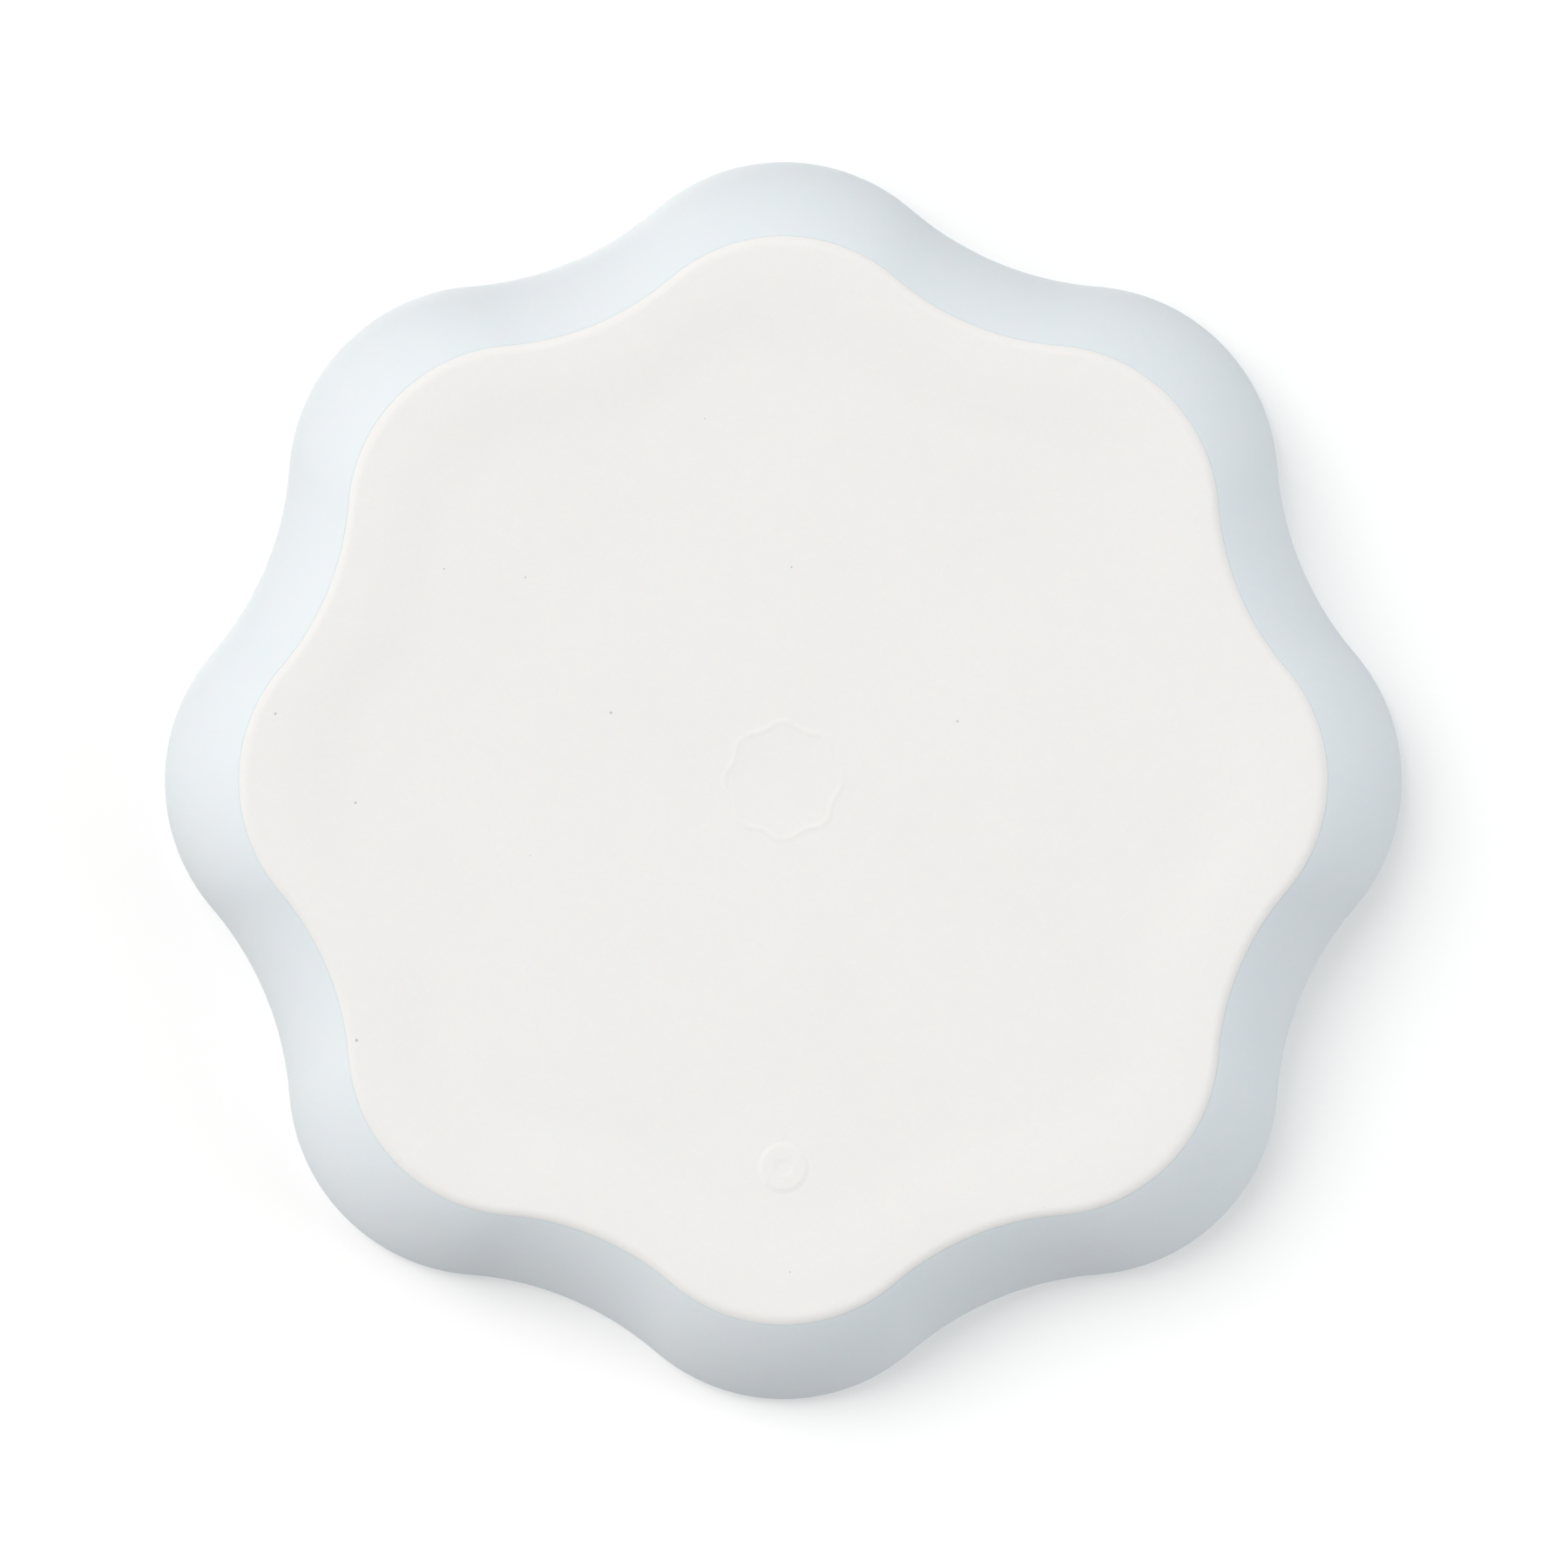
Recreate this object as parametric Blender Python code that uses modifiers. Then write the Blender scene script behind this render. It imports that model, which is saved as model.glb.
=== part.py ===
"""Mixing palette with eight petal wells: a scalloped dish, its drop-in well tray and its foot pad.

The palette stands on its pad at z = 0 with the wells facing up. Its axis is the Z axis, and one of
its eight lobes points along +X. Every length is in metres.
"""

import math

import bmesh
import bpy

# The whole palette
TIP_RADIUS = 0.080  # from the axis to a lobe's tip, at the rim
HEIGHT = 0.015
GAP = 0.0003  # between pieces that touch

# The scalloped outline, as shares of the radius to a lobe's tip
LOBES = 8
VALLEY_SHARE = 0.906  # from the axis to the bottom of a valley
LOBE_ARC_SHARE = 0.316  # radius of the arc that rounds a lobe
POINTS_PER_LOBE = 20

# The outer dish
FOOT_RADIUS = 0.0697  # to a lobe's tip at the bottom of the wall
PAD_PROUD = 0.0005  # how far the pad stands out of the dish
FOOT_EDGE = 0.0002  # flat edge of the wall round the pad
DISH_FLOOR = 0.002
WALL = 0.0026  # measured level, just above the floor
WALL_BULGE = math.radians(30)  # how far the outer wall turns between foot and rim
RIM_ROUND = 0.001
RIM_WIDTH = 0.0018
LIP_ROUND = 0.0003
LEDGE_DEPTH = 0.0018  # from the top of the rim down to the tray's ledge
LEDGE_WIDTH = 0.0014
FLOOR_CORNER = 0.0007  # cut off the corner between the inner wall and the floor

# The foot pad and its adhesive
PAD_THICK = 0.0014
PAD_EDGE_WIDTH = 0.0011  # of the edge's soft curve up from the flat ring
PAD_EDGE_RISE = 0.0005
PAD_LAND = 0.0042  # width of the flat ring that the palette stands on
PAD_SLOPE = 0.0115  # width of the gentle slope inside that ring
PAD_HOLLOW = 0.0004  # how far the middle is lifted off the table
ADHESIVE_THICK = 0.0003
ADHESIVE_INSET = 0.001
BUTTON_PLACE = (0.0, -0.0494)
BUTTON_RADIUS = 0.0031
BUTTON_PROUD = 0.00028
BUTTON_ROUND = 0.00015
DIMPLE_RADIUS = 0.0011
DIMPLE_DEPTH = 0.0004

# The well tray
TRAY_TOP_DROP = 0.0003  # below the top of the rim
TRAY_EDGE = 0.0003  # cut off the flange's top edge
TRAY_FLOOR = 0.0022
TRAY_SIDE_GAP = 0.0006
PARTITION = 0.003  # thickness of the wall between neighbouring wells
PETAL_INNER_CENTRE = 0.038  # from the axis to the centre of a petal's small end
PETAL_FLOOR_CENTRE = 0.0505  # from the axis to the centre of its big end, at the well's floor
CENTRE_WELL_RADIUS = 0.0215
CENTRE_WELL_SIDES = 48
WELL_DRAFT = 0.0016  # how much closer a well's sides come by its floor
WELL_FILLET = 0.002
WELL_ROUND_ANGLE = 40  # degrees; only the edge round the floor turns more sharply
CUTTER_EXTRA = 0.004  # how far a cutter stands out of the tray's top

ARC_STEPS = 6
ROUND_STEPS = 3


def clear_scene():
    for obj in list(bpy.data.objects):
        bpy.data.objects.remove(obj, do_unlink=True)


def new_collection(name):
    collection = bpy.data.collections.new(name)
    bpy.context.scene.collection.children.link(collection)
    return collection


def plastic(name, colour, roughness):
    material = bpy.data.materials.new(name)
    material.use_nodes = True
    shader = material.node_tree.nodes["Principled BSDF"]
    shader.inputs["Base Color"].default_value = (*colour, 1.0)
    shader.inputs["Roughness"].default_value = roughness
    shader.inputs["Metallic"].default_value = 0.0
    return material


def outline_share(angle):
    """The outline's distance from the axis at an angle, where a lobe's tip is at 1.

    Each lobe is one arc, and each valley is one arc that meets the lobes' arcs without a corner.
    """
    half = math.pi / LOBES
    turn = abs((angle + half) % (2 * half) - half)
    lobe = LOBE_ARC_SHARE
    lobe_centre = 1 - lobe
    across = lobe_centre * math.cos(half)
    valley = (lobe**2 - lobe_centre**2 - VALLEY_SHARE**2 + 2 * across * VALLEY_SHARE) / (
        2 * (VALLEY_SHARE - across - lobe)
    )
    valley_centre = VALLEY_SHARE + valley
    run = valley_centre * math.cos(half) - lobe_centre
    rise = valley_centre * math.sin(half)
    share = lobe / (lobe + valley)
    meeting = math.atan2(rise * share, lobe_centre + run * share)
    if turn < meeting:
        return lobe_centre * math.cos(turn) + math.sqrt(lobe**2 - (lobe_centre * math.sin(turn)) ** 2)
    left = half - turn
    return valley_centre * math.cos(left) - math.sqrt(valley**2 - (valley_centre * math.sin(left)) ** 2)


def arc(start, end, turn, steps):
    """Points of the arc from start to end that turns left by an angle on its way."""
    run = end[0] - start[0]
    rise = end[1] - start[1]
    radius = math.hypot(run, rise) / (2 * math.sin(turn / 2))
    first = math.atan2(rise, run) - turn / 2
    points = []
    for step in range(steps + 1):
        heading = first + turn * step / steps
        across = radius * (math.sin(heading) - math.sin(first))
        up = radius * (math.cos(first) - math.cos(heading))
        points.append((start[0] + across, start[1] + up))
    return points


def finish_mesh(name, bm, collection, material):
    bmesh.ops.recalc_face_normals(bm, faces=bm.faces)
    mesh = bpy.data.meshes.new(name)
    bm.to_mesh(mesh)
    bm.free()
    mesh.shade_smooth()
    mesh.set_sharp_from_angle(angle=math.radians(35))
    obj = bpy.data.objects.new(name, mesh)
    collection.objects.link(obj)
    if material:
        mesh.materials.append(material)
    return obj


def loft(name, sections, collection, material):
    """A closed body through sections that hold the same number of points, with its two ends filled."""
    bm = bmesh.new()
    rings = [[bm.verts.new(point) for point in section] for section in sections]
    bm.faces.new(rings[0])
    bm.faces.new(rings[-1])
    for low, high in zip(rings, rings[1:]):
        for index in range(len(low)):
            bm.faces.new((low[index - 1], low[index], high[index], high[index - 1]))
    return finish_mesh(name, bm, collection, material)


def scalloped_body(name, profile, collection, material):
    """A closed body with the palette's outline, larger or smaller at each height.

    The profile is a list of (radius to a lobe's tip, height), from one closed end to the other.
    """
    count = LOBES * POINTS_PER_LOBE
    angles = [2 * math.pi * index / count for index in range(count)]
    shares = [(outline_share(a) * math.cos(a), outline_share(a) * math.sin(a)) for a in angles]
    sections = [[(radius * x, radius * y, height) for x, y in shares] for radius, height in profile]
    return loft(name, sections, collection, material)


def wall_arc(start_height):
    """The outer wall's section, from the foot to the rim."""
    return arc((FOOT_RADIUS, start_height), (TIP_RADIUS, HEIGHT - RIM_ROUND), WALL_BULGE, ARC_STEPS)


def dish_levels():
    """Heights of the dish's layers: recess for the pad, inner floor, and ledge for the tray."""
    recess = PAD_THICK + ADHESIVE_THICK + 2 * GAP
    floor = recess + DISH_FLOOR
    ledge = HEIGHT - LEDGE_DEPTH
    return recess, floor, ledge


def dish_inner_wall():
    """The inside of the dish's wall, from the ledge down to the floor."""
    _, floor, ledge = dish_levels()
    top = TIP_RADIUS - RIM_WIDTH - LEDGE_WIDTH
    low = next(radius for radius, height in wall_arc(PAD_PROUD) if height > floor) - WALL
    return (top, ledge), (low, floor + FLOOR_CORNER), (low - FLOOR_CORNER, floor)


def build_dish(collection):
    recess, _, _ = dish_levels()
    inner_edge = FOOT_RADIUS - FOOT_EDGE
    profile = [(inner_edge, recess), (inner_edge, PAD_PROUD)]
    profile += wall_arc(PAD_PROUD)
    rim_end = (TIP_RADIUS - RIM_ROUND, HEIGHT)
    profile += arc((TIP_RADIUS, HEIGHT - RIM_ROUND), rim_end, math.pi / 2, ROUND_STEPS)[1:]
    lip = TIP_RADIUS - RIM_WIDTH
    profile += arc((lip + LIP_ROUND, HEIGHT), (lip, HEIGHT - LIP_ROUND), math.pi / 2, 1)
    inner_top, inner_low, floor_edge = dish_inner_wall()
    profile += [(lip, inner_top[1]), inner_top, inner_low, floor_edge]
    blue = plastic("pale_blue_plastic", (0.79, 0.86, 0.91), 0.45)
    return scalloped_body("outer_dish", profile, collection, blue)


def build_button(helpers):
    """The moulding button under the pad: a low round boss with a dimple in its middle."""
    lowest = PAD_HOLLOW - BUTTON_PROUD
    sides = [(BUTTON_RADIUS, PAD_THICK / 2), (BUTTON_RADIUS, lowest + BUTTON_ROUND)]
    sides += [(BUTTON_RADIUS - BUTTON_ROUND, lowest), (DIMPLE_RADIUS, lowest)]
    sides += [(DIMPLE_RADIUS / 2, lowest + DIMPLE_DEPTH * 0.75), (0.0, lowest + DIMPLE_DEPTH)]
    bm = bmesh.new()
    verts = [bm.verts.new((0.0, 0.0, PAD_THICK / 2))]
    verts += [bm.verts.new((radius, 0.0, height)) for radius, height in sides]
    for first, second in zip(verts, verts[1:]):
        bm.edges.new((first, second))
    button = finish_mesh("button_boss", bm, helpers, None)
    turn = button.modifiers.new("turn", "SCREW")
    turn.steps = 24
    turn.render_steps = 24
    turn.use_merge_vertices = True
    turn.merge_threshold = 0.00001
    button.location = (*BUTTON_PLACE, 0.0)
    return button


def build_pad(collection, helpers):
    edge = FOOT_RADIUS - FOOT_EDGE - GAP
    land_out = edge - PAD_EDGE_WIDTH
    land_in = land_out - PAD_LAND
    profile = [(edge, PAD_THICK)]
    edge_turn = 2 * math.atan2(PAD_EDGE_RISE, PAD_EDGE_WIDTH)
    profile += reversed(arc((land_out, 0.0), (edge, PAD_EDGE_RISE), edge_turn, ROUND_STEPS))
    profile += [(land_in, 0.0), (land_in - PAD_SLOPE, PAD_HOLLOW)]
    white = plastic("white_soft_rubber", (0.87, 0.86, 0.84), 0.7)
    pad = scalloped_body("base_pad", profile, collection, white)
    join = pad.modifiers.new("button", "BOOLEAN")
    join.operation = "UNION"
    join.object = build_button(helpers)
    return pad


def build_adhesive(collection):
    low = PAD_THICK + GAP
    radius = FOOT_RADIUS - FOOT_EDGE - ADHESIVE_INSET
    clear = plastic("adhesive_film", (0.80, 0.79, 0.74), 0.3)
    profile = [(radius, low), (radius, low + ADHESIVE_THICK)]
    return scalloped_body("pad_adhesive", profile, collection, clear)


def petal_outline(outer_centre, side_gap):
    """A petal's outline along +X: a big and a small arc, and the two lines that touch them both.

    The lines run at side_gap from the middles of the partitions on the petal's two sides.
    """
    half = math.pi / LOBES
    leaning = math.pi / 2 + half
    points = []
    for centre, first, turn, steps in (
        (outer_centre, -leaning, 2 * leaning, 18),
        (PETAL_INNER_CENTRE, leaning, 2 * (math.pi - leaning), 8),
    ):
        radius = centre * math.sin(half) - side_gap
        for step in range(steps + 1):
            angle = first + turn * step / steps
            points.append((centre + radius * math.cos(angle), radius * math.sin(angle)))
    return points


def circle_outline(radius):
    turns = [2 * math.pi * index / CENTRE_WELL_SIDES for index in range(CENTRE_WELL_SIDES)]
    return [(radius * math.cos(turn), radius * math.sin(turn)) for turn in turns]


def well_cutter(name, top_outline, floor_outline, floor, wells):
    """A plug that fills a well, with sloping sides and a rounded bottom edge, and stands out of it."""
    top = HEIGHT - TRAY_TOP_DROP
    levels = ((floor_outline, floor), (top_outline, top), (top_outline, top + CUTTER_EXTRA))
    sections = [[(x, y, height) for x, y in outline] for outline, height in levels]
    cutter = loft(name, sections, wells, None)
    round_edge = cutter.modifiers.new("round", "BEVEL")
    round_edge.width = WELL_FILLET
    round_edge.segments = ROUND_STEPS
    round_edge.limit_method = "ANGLE"
    round_edge.angle_limit = math.radians(WELL_ROUND_ANGLE)
    return cutter


def build_tray(collection, helpers):
    _, dish_floor, ledge = dish_levels()
    top = HEIGHT - TRAY_TOP_DROP
    bottom = dish_floor + GAP
    inner_top, inner_low, floor_edge = dish_inner_wall()
    flange = TIP_RADIUS - RIM_WIDTH - GAP
    profile = [
        (floor_edge[0] - TRAY_SIDE_GAP, bottom),
        (inner_low[0] - TRAY_SIDE_GAP, inner_low[1] + GAP),
        (inner_top[0] - TRAY_SIDE_GAP, ledge + GAP),
        (flange, ledge + GAP),
        (flange, top - TRAY_EDGE),
        (flange - TRAY_EDGE, top),
    ]
    white = plastic("white_gloss_melamine", (0.90, 0.90, 0.88), 0.12)
    tray = scalloped_body("well_tray", profile, collection, white)
    wells = bpy.data.collections.new("wells")
    helpers.children.link(wells)
    floor = bottom + TRAY_FLOOR
    lobe_centre = TIP_RADIUS * (1 - LOBE_ARC_SHARE)
    petal_top = petal_outline(lobe_centre, PARTITION / 2)
    petal_floor = petal_outline(PETAL_FLOOR_CENTRE, PARTITION / 2 + WELL_DRAFT)
    for index in range(LOBES):
        cutter = well_cutter(f"petal_well_{index + 1}", petal_top, petal_floor, floor, wells)
        cutter.rotation_euler.z = 2 * math.pi * index / LOBES
    centre_top = circle_outline(CENTRE_WELL_RADIUS)
    centre_floor = circle_outline(CENTRE_WELL_RADIUS - WELL_DRAFT)
    well_cutter("centre_well", centre_top, centre_floor, floor, wells)
    cut = tray.modifiers.new("wells", "BOOLEAN")
    cut.operation = "DIFFERENCE"
    cut.operand_type = "COLLECTION"
    cut.collection = wells
    return tray


def hide_helpers(helpers):
    for obj in helpers.all_objects:
        obj.hide_render = True
        obj.display_type = "WIRE"


def main():
    clear_scene()
    palette = new_collection("mixing_palette")
    helpers = new_collection("cutters")
    build_dish(palette)
    build_pad(palette, helpers)
    build_adhesive(palette)
    build_tray(palette, helpers)
    hide_helpers(helpers)


main()
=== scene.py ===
"""Looks of the mixing palette: fine meshes, materials, stage, light and camera, round the CAD frame.

The palette stands on its foot pad with the wells up. The main camera looks straight up at its
underside from below, as if it lay face down on a table.
"""

import math

import bmesh
import bpy
from mathutils import Matrix, Vector


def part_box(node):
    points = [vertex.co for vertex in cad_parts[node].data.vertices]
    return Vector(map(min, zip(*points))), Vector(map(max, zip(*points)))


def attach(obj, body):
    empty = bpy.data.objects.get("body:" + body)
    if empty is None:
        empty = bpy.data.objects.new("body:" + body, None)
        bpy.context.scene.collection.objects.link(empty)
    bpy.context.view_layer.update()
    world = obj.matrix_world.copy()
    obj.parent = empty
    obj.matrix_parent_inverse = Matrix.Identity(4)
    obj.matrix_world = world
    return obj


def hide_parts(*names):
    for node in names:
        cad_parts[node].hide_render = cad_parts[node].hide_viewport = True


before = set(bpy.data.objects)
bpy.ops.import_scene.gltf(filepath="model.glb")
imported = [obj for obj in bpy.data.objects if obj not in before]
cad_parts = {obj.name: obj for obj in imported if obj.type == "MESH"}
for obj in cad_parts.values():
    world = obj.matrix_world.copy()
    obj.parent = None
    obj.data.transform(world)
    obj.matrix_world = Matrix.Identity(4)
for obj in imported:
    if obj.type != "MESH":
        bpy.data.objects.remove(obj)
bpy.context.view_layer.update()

# Sizes read from the frame, in metres
DISH_LOW, DISH_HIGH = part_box("outer_dish")
PAD_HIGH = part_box("base_pad")[1]
FILM_LOW, FILM_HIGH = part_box("pad_adhesive")
TRAY_LOW, TRAY_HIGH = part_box("well_tray")
GAP = FILM_LOW.z - PAD_HIGH.z  # between CAD solids that stand for touching pieces
TIP_RADIUS = DISH_HIGH.x
HEIGHT = DISH_HIGH.z
SEAM = 0.00001  # between the pad and the dish
PAD_EDGE = PAD_HIGH.x + GAP - SEAM
RECESS = FILM_HIGH.z + GAP
DISH_FLOOR = TRAY_LOW.z - GAP

# The scalloped outline, as shares of the radius to a lobe's tip
LOBES = 8
VALLEY_SHARE = 0.906
LOBE_ARC_SHARE = 0.316
OUTLINE_POINTS = 48 * LOBES

# The dish
WALL_BULGE = math.radians(30)  # how far the outer wall turns between foot and rim
WALL_STEPS = 24
LEDGE = HEIGHT - 0.0018
LIP_RADIUS = TIP_RADIUS - 0.0018
LEDGE_RADIUS = LIP_RADIUS - 0.0014
FLOOR_RADIUS = 0.0706
FLOOR_ROUND = 0.0012  # rounds the dish's inner corner and the tray's bottom edge

# The pad's underside
EDGE_WIDTH = 0.0015  # of the soft curve round its edge
EDGE_RISE = 0.00049
EDGE_STEPS = 12
LAND_WIDTH = 0.0048  # of the flat ring that the palette stands on, with the curve
SLOPE_WIDTH = 0.0101
SLOPE_STEPS = 10
HOLLOW = 0.0004  # how far the middle is lifted
BUTTON_PLACE = Vector((0.0, -0.0494))
BUTTON_RADIUS = 0.0031
BUTTON_PROUD = 0.00013
MARK_RADIUS = 0.0075
MARK_BEAD = 0.00035  # a quarter of the width of the bead that the emblem is drawn with
MARK_PROUD = 0.00006
MARK_STEPS = 8  # on each side of the bead
DUST_SPACING = 0.011  # between places where a speck of dust may be

# The tray
TRAY_SIDE_GAP = 0.0006  # between its side and the dish's
FLANGE_GAP = 0.00012  # between its flange and the dish's lip

# The wells
WELL_FLOOR = TRAY_LOW.z + 0.0022
PARTITION = 0.003
PETAL_INNER_CENTRE = 0.038
PETAL_FLOOR_CENTRE = 0.0505
CENTRE_WELL_RADIUS = 0.0215
WELL_DRAFT = 0.0016
WELL_LIP = 0.0011
WELL_FILLET = 0.003
FLOOR_BOWL = 0.00025  # how much lower the middle of a well's floor is
BOWL_WIDTH = 0.006
BOWL_STEPS = 6
BIG_END_STEPS = 56
SMALL_END_STEPS = 22
SIDE_STEPS = 8  # along each straight side between the ends

ARC_STEPS = 8

# Light and stage
CLEARANCE = 0.00004  # between the palette and a sheet that it touches
SHEET_SIZE = 6.0
LIGHT_FROM_BELOW = 0.34
LIGHT_FROM_ABOVE = 0.45
LIGHT_BLEND = 0.1  # how far either side of level the one passes into the other
WHITE_SEEN = 0.9  # where the camera sees past the stage
SUN_SPREAD = 40  # degrees
WARM = (1.0, 0.985, 0.955)
COOL = (0.95, 0.985, 1.0)

# Camera
DISTANCE = 1.0  # from the rim
VIEW_WIDTH = 0.203  # at the rim
SENSOR_WIDTH = 36.0  # in millimetres
AIM = (-0.00009, -0.00045)  # where the middle of the picture falls


def outline_share(angle):
    """The outline's distance from the axis at an angle, where a lobe's tip is at 1."""
    half = math.pi / LOBES
    turn = abs((angle + half) % (2 * half) - half)
    lobe = LOBE_ARC_SHARE
    lobe_centre = 1 - lobe
    across = lobe_centre * math.cos(half)
    valley = (lobe**2 - lobe_centre**2 - VALLEY_SHARE**2 + 2 * across * VALLEY_SHARE) / (
        2 * (VALLEY_SHARE - across - lobe)
    )
    valley_centre = VALLEY_SHARE + valley
    run = valley_centre * math.cos(half) - lobe_centre
    rise = valley_centre * math.sin(half)
    share = lobe / (lobe + valley)
    if turn < math.atan2(rise * share, lobe_centre + run * share):
        return lobe_centre * math.cos(turn) + math.sqrt(lobe**2 - (lobe_centre * math.sin(turn)) ** 2)
    left = half - turn
    return valley_centre * math.cos(left) - math.sqrt(valley**2 - (valley_centre * math.sin(left)) ** 2)


def scalloped(radius, height):
    """One level section of the palette's outline."""
    points = []
    for index in range(OUTLINE_POINTS):
        angle = 2 * math.pi * index / OUTLINE_POINTS
        reach = radius * outline_share(angle)
        points.append((reach * math.cos(angle), reach * math.sin(angle), height))
    return points


def circle(radius, height, centre=(0.0, 0.0), sides=96):
    turns = [2 * math.pi * index / sides for index in range(sides)]
    return [(centre[0] + radius * math.cos(a), centre[1] + radius * math.sin(a), height) for a in turns]


def arc(start, end, turn, steps):
    """Points of the arc from start to end that turns left by an angle on its way."""
    run = end[0] - start[0]
    rise = end[1] - start[1]
    radius = math.hypot(run, rise) / (2 * math.sin(turn / 2))
    first = math.atan2(rise, run) - turn / 2
    points = []
    for step in range(steps + 1):
        heading = first + turn * step / steps
        across = radius * (math.sin(heading) - math.sin(first))
        up = radius * (math.cos(first) - math.cos(heading))
        points.append((start[0] + across, start[1] + up))
    return points


def rounded(corners):
    """A section through corners, given as (radius, height, rounding), with each corner made an arc."""
    points = [tuple(corners[0][:2])]
    for before, corner, after in zip(corners, corners[1:], corners[2:]):
        here = Vector(corner[:2])
        back = (Vector(before[:2]) - here).normalized()
        on = (Vector(after[:2]) - here).normalized()
        rounding = corner[2]
        if rounding == 0 or back.angle(-on) < math.radians(1):
            points.append(tuple(here))
            continue
        half = back.angle(on) / 2
        centre = here + (back + on).normalized() * rounding / math.sin(half)
        spoke = here + back * rounding / math.tan(half) - centre
        way = 1 if back.x * on.y - back.y * on.x < 0 else -1
        turn = way * (math.pi - 2 * half)
        for step in range(ARC_STEPS + 1):
            points.append(tuple(centre + Matrix.Rotation(turn * step / ARC_STEPS, 2) @ spoke))
    points.append(tuple(corners[-1][:2]))
    return points


class Skin:
    """One closed mesh, made from rings of points."""

    def __init__(self):
        self.bm = bmesh.new()

    def ring(self, points):
        return [self.bm.verts.new(point) for point in points]

    def join(self, one, other):
        for index in range(len(one)):
            self.bm.faces.new((one[index - 1], one[index], other[index], other[index - 1]))

    def loft(self, ring, sections):
        """Joins a ring to the sections, one after another, and returns the last one's ring."""
        for section in sections:
            after = self.ring(section)
            self.join(ring, after)
            ring = after
        return ring

    def cap(self, ring):
        self.bm.faces.new(ring)

    def fill(self, rings):
        """Fills the flat space between rings: the first goes round it, and the others are holes in it."""
        edges = []
        for ring in rings:
            for index in range(len(ring)):
                pair = (ring[index - 1], ring[index])
                edges.append(self.bm.edges.get(pair) or self.bm.edges.new(pair))
        bmesh.ops.triangle_fill(self.bm, use_beauty=True, edges=edges)

    def piece(self, name, material, node, body):
        """The finished piece, standing for a CAD node and riding its body."""
        bmesh.ops.recalc_face_normals(self.bm, faces=self.bm.faces)
        mesh = bpy.data.meshes.new(name)
        self.bm.to_mesh(mesh)
        self.bm.free()
        mesh.shade_smooth()
        mesh.materials.append(material)
        obj = bpy.data.objects.new(name, mesh)
        bpy.context.scene.collection.objects.link(obj)
        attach(obj, body)
        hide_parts(node)
        return obj


# Materials


class Surface:
    """A Principled material and the nodes that vary it. Lengths are in metres on the object."""

    def __init__(self, name, roughness, specular=0.5, subsurface=0.0, subsurface_reach=0.0, coat=0.0):
        self.material = bpy.data.materials.new(name)
        self.material.use_nodes = True
        self.nodes = self.material.node_tree.nodes
        self.shader = self.nodes["Principled BSDF"]
        self.shader.inputs["Roughness"].default_value = roughness
        self.shader.inputs["Subsurface Weight"].default_value = subsurface
        self.shader.inputs["Subsurface Scale"].default_value = subsurface_reach
        self.shader.inputs["Coat Weight"].default_value = coat
        self.shader.inputs["Coat Roughness"].default_value = 0.08
        self.shader.inputs["Specular IOR Level"].default_value = specular
        self.place = self.nodes.new("ShaderNodeTexCoord").outputs["Object"]

    def link(self, output, socket):
        self.material.node_tree.links.new(output, socket)

    def noise(self, size, detail=2.0, roughness=0.5):
        """Noise whose features are about that size."""
        node = self.nodes.new("ShaderNodeTexNoise")
        node.inputs["Scale"].default_value = 1 / size
        node.inputs["Detail"].default_value = detail
        node.inputs["Roughness"].default_value = roughness
        self.link(self.place, node.inputs["Vector"])
        return node.outputs["Fac"]

    def mapped(self, value, low, high, to_low, to_high):
        node = self.nodes.new("ShaderNodeMapRange")
        node.inputs["From Min"].default_value = low
        node.inputs["From Max"].default_value = high
        node.inputs["To Min"].default_value = to_low
        node.inputs["To Max"].default_value = to_high
        self.link(value, node.inputs["Value"])
        return node.outputs["Result"]

    def math(self, operation, one, other):
        node = self.nodes.new("ShaderNodeMath")
        node.operation = operation
        for value, socket in zip((one, other), node.inputs):
            if isinstance(value, float):
                socket.default_value = value
            else:
                self.link(value, socket)
        return node.outputs["Value"]

    def mix(self, share, one, other):
        """A colour between two, each a colour or another node's output."""
        node = self.nodes.new("ShaderNodeMix")
        node.data_type = "RGBA"
        self.link(share, node.inputs["Factor"])
        for value, socket in zip((one, other), (node.inputs[6], node.inputs[7])):
            if isinstance(value, tuple):
                socket.default_value = (*value, 1.0)
            else:
                self.link(value, socket)
        return node.outputs[2]

    def bump(self, height, depth, before=None):
        node = self.nodes.new("ShaderNodeBump")
        node.inputs["Strength"].default_value = 1.0
        node.inputs["Distance"].default_value = depth
        self.link(height, node.inputs["Height"])
        if before:
            self.link(before, node.inputs["Normal"])
        return node.outputs["Normal"]


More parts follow.
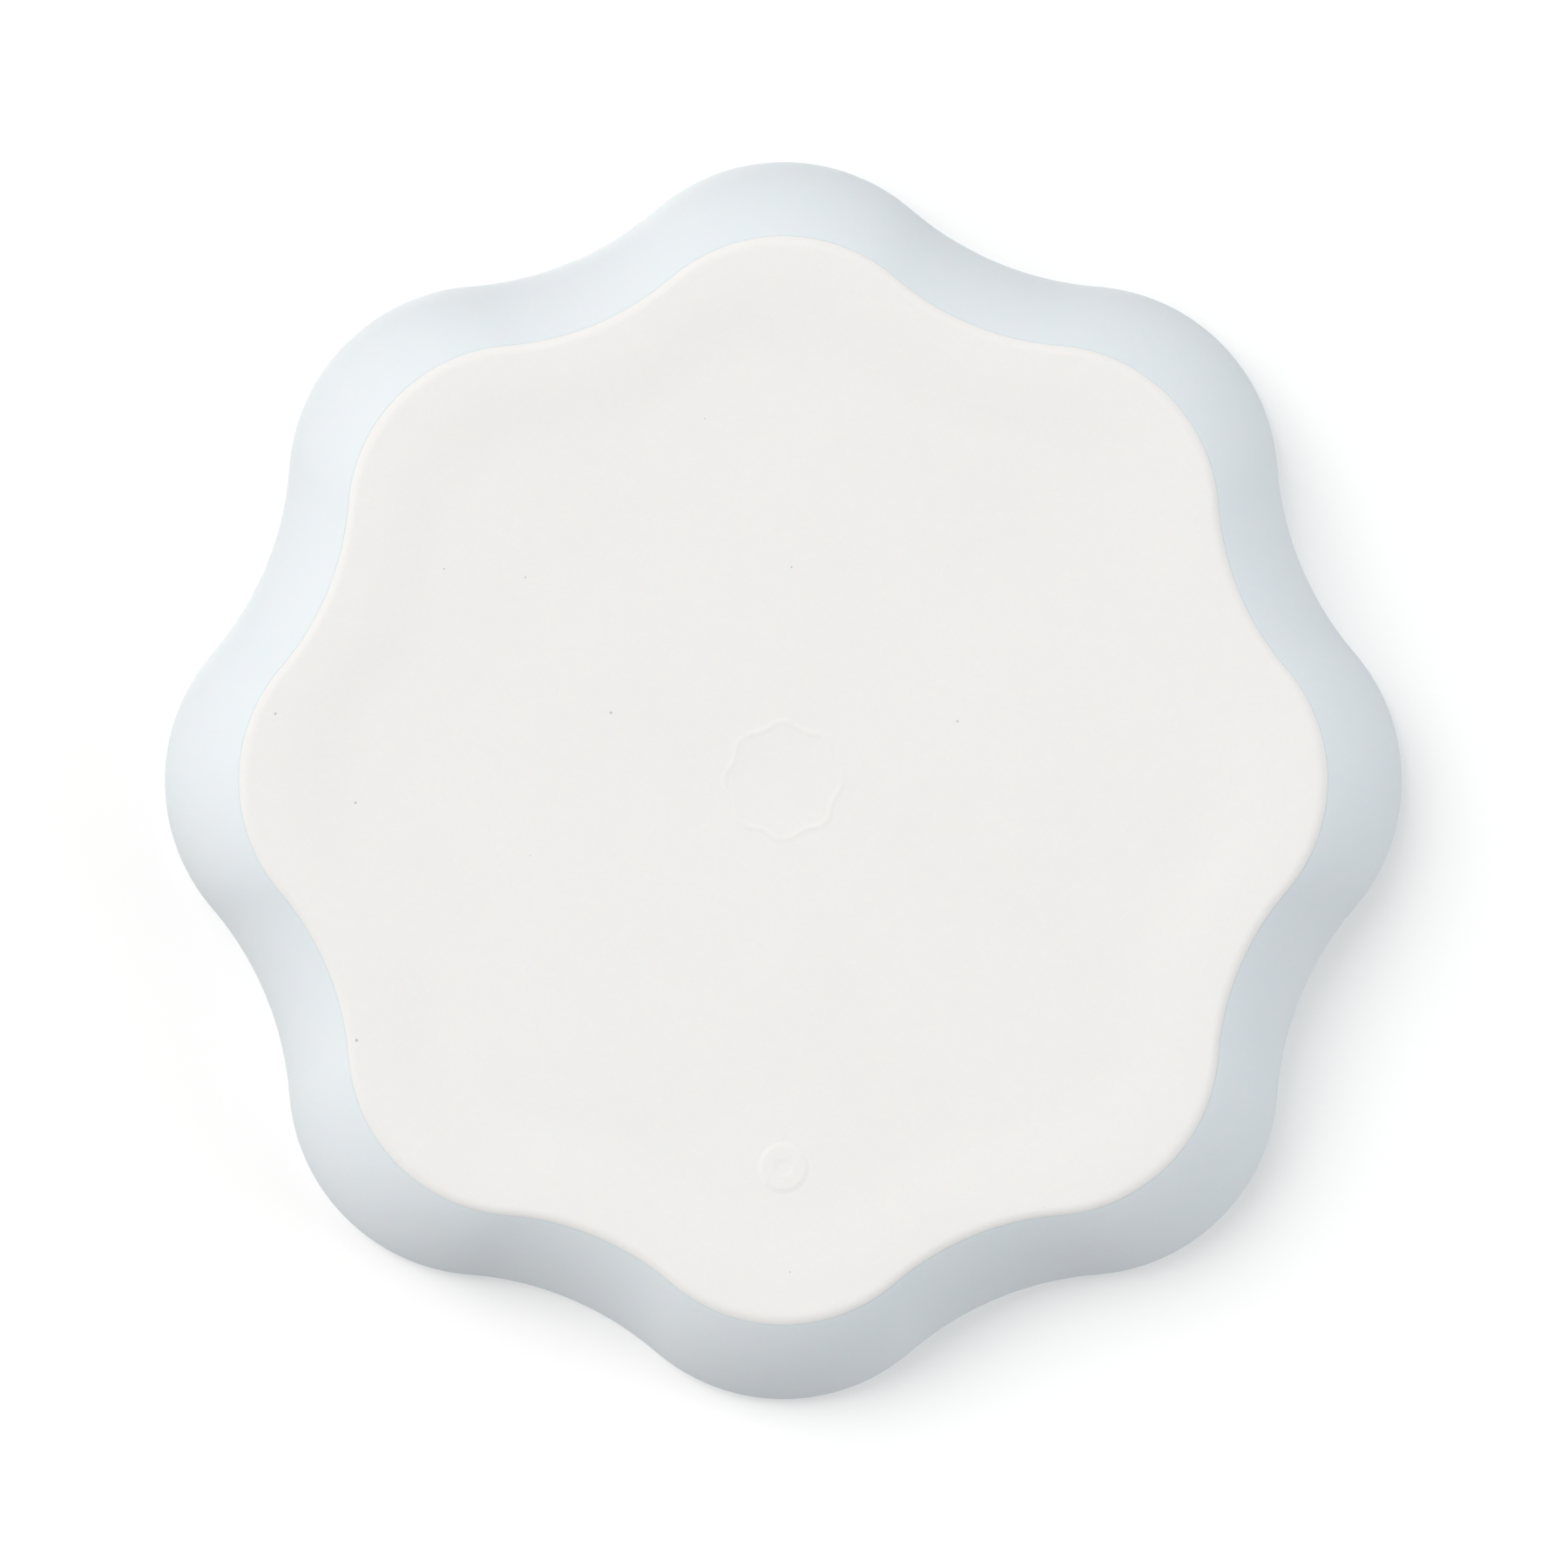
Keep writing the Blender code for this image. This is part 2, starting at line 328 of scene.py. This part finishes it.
def blue_plastic():
    """Satin moulded plastic, a very pale blue, with a fine spark-eroded grain and faint mottling."""
    surface = Surface("pale_blue_plastic", 0.5, specular=0.25, subsurface=0.15, subsurface_reach=0.001)
    cloud = surface.mapped(surface.noise(0.018, 3.0), 0.35, 0.65, 0.0, 1.0)
    colour = surface.mix(cloud, (0.72, 0.77, 0.80), (0.74, 0.78, 0.81))
    speckle = surface.mapped(surface.noise(0.0006, 3.0), 0.3, 0.7, 0.0, 1.0)
    fine = surface.mix(speckle, (0.73, 0.77, 0.80), (0.74, 0.78, 0.81))
    half = surface.mapped(surface.noise(0.004), 0.3, 0.7, 0.3, 0.7)
    surface.link(surface.mix(half, colour, fine), surface.shader.inputs["Base Color"])
    rough = surface.mapped(surface.noise(0.007, 4.0), 0.3, 0.7, 0.46, 0.58)
    surface.link(rough, surface.shader.inputs["Roughness"])
    grain = surface.bump(surface.noise(0.00025, 3.0), 0.000012)
    wave = surface.bump(surface.noise(0.006, 1.0), 0.00002, grain)
    surface.link(wave, surface.shader.inputs["Normal"])
    return surface.material


def soft_rubber():
    """Matte warm white rubber: powdery, softly mottled, with a few specks of dust stuck to it."""
    surface = Surface("white_soft_rubber", 0.7, specular=0.3, subsurface=0.1, subsurface_reach=0.001)
    cloud = surface.mapped(surface.noise(0.025, 4.0), 0.3, 0.7, 0.0, 1.0)
    base = surface.mix(cloud, (0.79, 0.78, 0.77), (0.81, 0.80, 0.79))
    fleck = surface.mapped(surface.noise(0.0005, 4.0), 0.3, 0.7, 0.0, 1.0)
    fine = surface.mix(fleck, (0.80, 0.78, 0.77), (0.81, 0.80, 0.79))
    half = surface.mapped(surface.noise(0.003), 0.3, 0.7, 0.3, 0.7)
    plain = surface.mix(half, base, fine)
    cells = surface.nodes.new("ShaderNodeTexVoronoi")
    cells.voronoi_dimensions = "2D"
    cells.inputs["Scale"].default_value = 1 / DUST_SPACING
    surface.link(surface.place, cells.inputs["Vector"])
    parts = surface.nodes.new("ShaderNodeSeparateColor")
    surface.link(cells.outputs["Color"], parts.inputs["Color"])
    chosen = surface.mapped(parts.outputs["Red"], 0.88, 0.885, 0.0, 1.0)
    size = surface.mapped(parts.outputs["Green"], 0.0, 1.0, 0.006, 0.019)
    inside = surface.math("SUBTRACT", size, cells.outputs["Distance"])
    dot = surface.mapped(inside, -0.002, 0.004, 0.0, 0.55)
    dust = surface.math("MULTIPLY", dot, chosen)
    surface.link(surface.mix(dust, plain, (0.33, 0.32, 0.30)), surface.shader.inputs["Base Color"])
    rough = surface.mapped(surface.noise(0.01, 4.0), 0.3, 0.7, 0.62, 0.78)
    surface.link(rough, surface.shader.inputs["Roughness"])
    grain = surface.bump(surface.noise(0.0002, 4.0), 0.00001)
    wave = surface.bump(surface.noise(0.012, 2.0), 0.00003, grain)
    surface.link(wave, surface.shader.inputs["Normal"])
    return surface.material


def melamine():
    """Glossy white melamine: very slightly wavy, with faint rubbed patches and hairline scratches."""
    surface = Surface("white_gloss_melamine", 0.12, subsurface=0.1, subsurface_reach=0.0015, coat=0.3)
    cloud = surface.mapped(surface.noise(0.03, 3.0), 0.3, 0.7, 0.0, 1.0)
    colour = surface.mix(cloud, (0.82, 0.82, 0.81), (0.85, 0.85, 0.84))
    surface.link(colour, surface.shader.inputs["Base Color"])
    patches = surface.mapped(surface.noise(0.009, 5.0, 0.6), 0.4, 0.7, 0.09, 0.2)
    surface.link(patches, surface.shader.inputs["Roughness"])
    streaks = surface.nodes.new("ShaderNodeMapping")
    streaks.inputs["Scale"].default_value = (1.0, 0.03, 1.0)
    streaks.inputs["Rotation"].default_value = (0.0, 0.0, 0.6)
    surface.link(surface.place, streaks.inputs["Vector"])
    lines = surface.nodes.new("ShaderNodeTexNoise")
    lines.inputs["Scale"].default_value = 6000.0
    surface.link(streaks.outputs["Vector"], lines.inputs["Vector"])
    scratch = surface.mapped(lines.outputs["Fac"], 0.66, 0.72, 0.0, 1.0)
    marked = surface.bump(scratch, 0.000003)
    wave = surface.bump(surface.noise(0.008, 1.0), 0.00003, marked)
    surface.link(wave, surface.shader.inputs["Normal"])
    return surface.material


def adhesive_film():
    """The adhesive sheet inside the foot: off-white, with a faint fibrous carrier."""
    surface = Surface("adhesive_film", 0.35)
    fibre = surface.mapped(surface.noise(0.0008, 5.0, 0.7), 0.3, 0.7, 0.0, 1.0)
    colour = surface.mix(fibre, (0.70, 0.68, 0.60), (0.80, 0.79, 0.72))
    surface.link(colour, surface.shader.inputs["Base Color"])
    surface.link(surface.bump(surface.noise(0.0005, 4.0), 0.00002), surface.shader.inputs["Normal"])
    return surface.material


# Pieces


def make_dish(material):
    """The dish: recess for the pad underneath, sloping wall, rolled rim, ledge and inner floor."""
    inner_edge = PAD_EDGE + SEAM
    foot = DISH_LOW.z
    wall = arc((inner_edge, foot), (TIP_RADIUS - 0.00008, HEIGHT - 0.0014), WALL_BULGE, WALL_STEPS)
    corners = [(inner_edge - 0.001, RECESS, 0), (inner_edge, RECESS, 0.00025)]
    corners += [(inner_edge, foot, 0.00002)]
    corners += [(radius, height, 0) for radius, height in wall[1:]]
    corners += [(TIP_RADIUS, HEIGHT - 0.0011, 0.0006), (TIP_RADIUS, HEIGHT, 0.00085)]
    corners += [(LIP_RADIUS, HEIGHT, 0.0008), (LIP_RADIUS, LEDGE, 0.00025)]
    corners += [(LEDGE_RADIUS, LEDGE, 0.0003), (FLOOR_RADIUS, DISH_FLOOR, FLOOR_ROUND)]
    corners += [(FLOOR_RADIUS - 0.003, DISH_FLOOR, 0)]
    skin = Skin()
    sections = [scalloped(radius, height) for radius, height in rounded(corners)]
    first = skin.ring(sections[0])
    last = skin.loft(first, sections[1:])
    skin.cap(first)
    skin.cap(last)
    return skin.piece("dish_shell", material, "outer_dish", "dish")


def make_pad(material):
    """The foot pad: a flat ring round its edge, a slightly lifted middle, a button and a plain emblem."""
    land = PAD_EDGE - LAND_WIDTH
    middle = land - SLOPE_WIDTH
    edge_turn = 2 * math.atan2(EDGE_RISE, EDGE_WIDTH)
    edge = arc((PAD_EDGE - EDGE_WIDTH, 0.0), (PAD_EDGE, EDGE_RISE), edge_turn, EDGE_STEPS)[::-1]
    corners = [(PAD_EDGE - 0.001, PAD_HIGH.z, 0), (PAD_EDGE, PAD_HIGH.z, 0.0002)]
    corners += [(PAD_EDGE, EDGE_RISE, 0.00001), (*edge[1], 0)]
    section = rounded(corners) + edge[2:]
    section.append((land, 0.0))
    for step in range(1, SLOPE_STEPS + 1):
        share = step / SLOPE_STEPS
        section.append((land - SLOPE_WIDTH * share, HOLLOW * share * share * (3 - 2 * share)))
    section.append((middle - 0.0005, HOLLOW))
    skin = Skin()
    sections = [scalloped(radius, height) for radius, height in section]
    top = skin.ring(sections[0])
    outer = skin.loft(top, sections[1:])
    skin.cap(top)
    button = skin.ring(circle(BUTTON_RADIUS + 0.0007, HOLLOW, BUTTON_PLACE))
    lowest = HOLLOW - BUTTON_PROUD
    profile = rounded([
        (BUTTON_RADIUS + 0.0006, HOLLOW, 0), (BUTTON_RADIUS + 0.0002, HOLLOW, 0.0006),
        (BUTTON_RADIUS - 0.0004, lowest, 0.0006), (BUTTON_RADIUS * 0.42, lowest, 0.0005),
        (BUTTON_RADIUS * 0.24, lowest + 0.00007, 0.0003), (0.0001, lowest + 0.00009, 0),
    ])
    skin.cap(skin.loft(button, [circle(radius, height, BUTTON_PLACE) for radius, height in profile]))
    emblem = skin.ring(scalloped(MARK_RADIUS + 4 * MARK_BEAD, HOLLOW))
    beads = []
    for step in range(-MARK_STEPS, MARK_STEPS + 1):
        share = step / MARK_STEPS
        height = HOLLOW - MARK_PROUD * (1 + math.cos(math.pi * share)) / 2
        beads.append((MARK_RADIUS - share * 2 * MARK_BEAD, height))
    inner = skin.loft(emblem, [scalloped(radius, height) for radius, height in beads])
    skin.cap(skin.loft(inner, [scalloped(MARK_RADIUS * 0.5, HOLLOW)]))
    skin.fill([outer, button, emblem])
    return skin.piece("foot_pad", material, "base_pad", "dish")


def petal_section(depth_share, inset, height, turn):
    """One level section of a petal well, turned to its place round the tray.

    Its big end leans inwards with depth, so that it follows the dish's sloping wall.
    """
    half = math.pi / LOBES
    leaning = math.pi / 2 + half
    lobe_centre = TIP_RADIUS * (1 - LOBE_ARC_SHARE)
    outer_centre = lobe_centre + (PETAL_FLOOR_CENTRE - lobe_centre) * depth_share
    loose = []
    for centre, first, sweep, steps in (
        (outer_centre, -leaning, 2 * leaning, BIG_END_STEPS),
        (PETAL_INNER_CENTRE, leaning, 2 * (math.pi - leaning), SMALL_END_STEPS),
    ):
        radius = centre * math.sin(half) - PARTITION / 2 - inset
        for step in range(steps + 1):
            angle = first + sweep * step / steps
            loose.append(Vector((centre + radius * math.cos(angle), radius * math.sin(angle))))
    points = []
    for index, point in enumerate(loose):
        points.append(point)
        after = loose[(index + 1) % len(loose)]
        if index in (BIG_END_STEPS, len(loose) - 1):
            points += [point.lerp(after, part / SIDE_STEPS) for part in range(1, SIDE_STEPS)]
    place = Matrix.Rotation(turn, 2)
    return [(*(place @ point), height) for point in points]


def well_profile():
    """(inset, height, depth share) down a well's side: rounded lip, sloping wall, fillet, floor."""
    depth = TRAY_HIGH.z - WELL_FLOOR
    rise = depth - FLOOR_BOWL
    corners = [(-WELL_LIP * 1.15, 0.0, 0), (0.0, 0.0, WELL_LIP), (WELL_DRAFT, -rise, WELL_FILLET)]
    corners += [(WELL_DRAFT + WELL_FILLET, -rise, 0)]
    section = rounded(corners)
    start = section[-1][0]
    for step in range(1, BOWL_STEPS + 1):
        share = step / BOWL_STEPS
        section.append((start + BOWL_WIDTH * share, -rise - FLOOR_BOWL * math.sin(share * math.pi / 2)))
    return [(inset, TRAY_HIGH.z + drop, min(1.0, -drop / rise)) for inset, drop in section]


def make_tray(material):
    """The tray: eight petal wells round a mixing well, rounded partitions, and a flange for the ledge."""
    side = FLOOR_RADIUS - TRAY_SIDE_GAP
    flange = LIP_RADIUS - FLANGE_GAP
    bottom = TRAY_LOW.z
    corners = [(side - 0.003, bottom, 0), (side, bottom, FLOOR_ROUND)]
    corners += [(LEDGE_RADIUS - TRAY_SIDE_GAP, LEDGE + GAP, 0.0003), (flange, LEDGE + GAP, 0.0003)]
    corners += [(flange, TRAY_HIGH.z, 0.0007), (flange - 0.0012, TRAY_HIGH.z, 0)]
    skin = Skin()
    sections = [scalloped(radius, height) for radius, height in rounded(corners)]
    first = skin.ring(sections[0])
    rings = [skin.loft(first, sections[1:])]
    skin.cap(first)
    levels = well_profile()
    for petal in range(LOBES):
        turn = 2 * math.pi * petal / LOBES
        sections = [petal_section(share, inset, height, turn) for inset, height, share in levels]
        lip = skin.ring(sections[0])
        skin.cap(skin.loft(lip, sections[1:]))
        rings.append(lip)
    sections = [circle(CENTRE_WELL_RADIUS - inset, height, sides=160) for inset, height, _ in levels]
    lip = skin.ring(sections[0])
    skin.cap(skin.loft(lip, sections[1:]))
    rings.append(lip)
    skin.fill(rings)
    return skin.piece("tray_insert", material, "well_tray", "tray")


# Stage, light and camera


def one_sided(name, colour):
    """A matt white that shows only from its front, so that a camera behind it sees through."""
    material = bpy.data.materials.new(name)
    material.use_nodes = True
    nodes = material.node_tree.nodes
    links = material.node_tree.links
    nodes.clear()
    paper = nodes.new("ShaderNodeBsdfDiffuse")
    paper.inputs["Color"].default_value = (colour, colour, colour, 1.0)
    clear = nodes.new("ShaderNodeBsdfTransparent")
    side = nodes.new("ShaderNodeNewGeometry")
    mix = nodes.new("ShaderNodeMixShader")
    out = nodes.new("ShaderNodeOutputMaterial")
    links.new(side.outputs["Backfacing"], mix.inputs["Fac"])
    links.new(paper.outputs["BSDF"], mix.inputs[1])
    links.new(clear.outputs["BSDF"], mix.inputs[2])
    links.new(mix.outputs["Shader"], out.inputs["Surface"])
    return material


def make_stage():
    """A white floor that shows from above, and a white sheet on the rim that shows from below."""
    for name, height, tilt, colour in (
        ("floor", -CLEARANCE, 0.0, 0.88),
        ("table_sheet", HEIGHT + CLEARANCE, math.pi, 0.97),
    ):
        bpy.ops.mesh.primitive_plane_add(size=SHEET_SIZE, location=(0, 0, height), rotation=(tilt, 0, 0))
        plane = bpy.context.object
        plane.name = name
        plane.data.materials.append(one_sided(name + "_white", colour))
        plane.visible_diffuse = False
        plane.visible_glossy = False
        plane.visible_transmission = False
        plane.visible_volume_scatter = False
        plane.visible_shadow = False


def make_world():
    """White light, stronger from above than from below, and plain white where the camera sees past the
    stage."""
    world = bpy.data.worlds.new("studio")
    bpy.context.scene.world = world
    world.use_nodes = True
    nodes = world.node_tree.nodes
    links = world.node_tree.links
    light = nodes["Background"]
    place = nodes.new("ShaderNodeTexCoord")
    parts = nodes.new("ShaderNodeSeparateXYZ")
    level = nodes.new("ShaderNodeMapRange")
    level.interpolation_type = "SMOOTHSTEP"
    level.inputs["From Min"].default_value = -LIGHT_BLEND
    level.inputs["From Max"].default_value = LIGHT_BLEND
    level.inputs["To Min"].default_value = LIGHT_FROM_BELOW
    level.inputs["To Max"].default_value = LIGHT_FROM_ABOVE
    links.new(place.outputs["Generated"], parts.inputs["Vector"])
    links.new(parts.outputs["Z"], level.inputs["Value"])
    links.new(level.outputs["Result"], light.inputs["Strength"])
    seen = nodes.new("ShaderNodeBackground")
    seen.inputs["Strength"].default_value = WHITE_SEEN
    ray = nodes.new("ShaderNodeLightPath")
    mix = nodes.new("ShaderNodeMixShader")
    for shader in (light, seen):
        shader.inputs["Color"].default_value = (1.0, 1.0, 1.0, 1.0)
    links.new(ray.outputs["Is Camera Ray"], mix.inputs["Fac"])
    links.new(light.outputs["Background"], mix.inputs[1])
    links.new(seen.outputs["Background"], mix.inputs[2])
    links.new(mix.outputs["Shader"], nodes["World Output"].inputs["Surface"])


def make_sun(name, turn, rise, strength, colour=(1.0, 1.0, 1.0)):
    """A wide soft light. turn and rise, in degrees, place it in the picture seen from below:
    turn counts from the picture's right towards its top, and rise is from the table towards the camera.
    """
    level = math.cos(math.radians(rise))
    towards = Vector((
        -level * math.cos(math.radians(turn)),
        level * math.sin(math.radians(turn)),
        -math.sin(math.radians(rise)),
    ))
    data = bpy.data.lights.new(name, "SUN")
    data.energy = strength
    data.color = colour
    data.angle = math.radians(SUN_SPREAD)
    sun = bpy.data.objects.new(name, data)
    sun.rotation_mode = "QUATERNION"
    sun.rotation_quaternion = towards.to_track_quat("Z", "Y")
    bpy.context.scene.collection.objects.link(sun)


def make_lights():
    make_world()
    make_sun("window", 145, 37, 1.35, WARM)
    make_sun("window_edge", 110, 45, 0.6)
    make_sun("left_wall", 180, 28, 0.55, WARM)
    make_sun("lower_left_wall", 215, 40, 0.3)
    make_sun("right_wall", 0, 14, 0.85, COOL)
    make_sun("right_reflector", 30, 30, 0.4, COOL)
    make_sun("lower_reflector", 300, 42, 0.4, COOL)
    make_sun("lamp_above", 120, -75, 1.9)


def make_camera():
    """Straight below the palette, looking up, with +Y at the top of the picture and +X at its left."""
    data = bpy.data.cameras.new("camera")
    data.sensor_width = SENSOR_WIDTH
    data.lens = SENSOR_WIDTH * DISTANCE / VIEW_WIDTH
    data.clip_start = 0.01
    camera = bpy.data.objects.new("camera", data)
    camera.location = (*AIM, HEIGHT - DISTANCE)
    camera.rotation_euler = (0.0, math.pi, 0.0)
    bpy.context.scene.collection.objects.link(camera)
    bpy.context.scene.camera = camera


make_camera()
make_lights()
make_stage()
make_dish(blue_plastic())
make_pad(soft_rubber())
make_tray(melamine())
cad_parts["pad_adhesive"].data.materials.clear()
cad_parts["pad_adhesive"].data.materials.append(adhesive_film())
bpy.context.scene.view_settings.view_transform = "Standard"
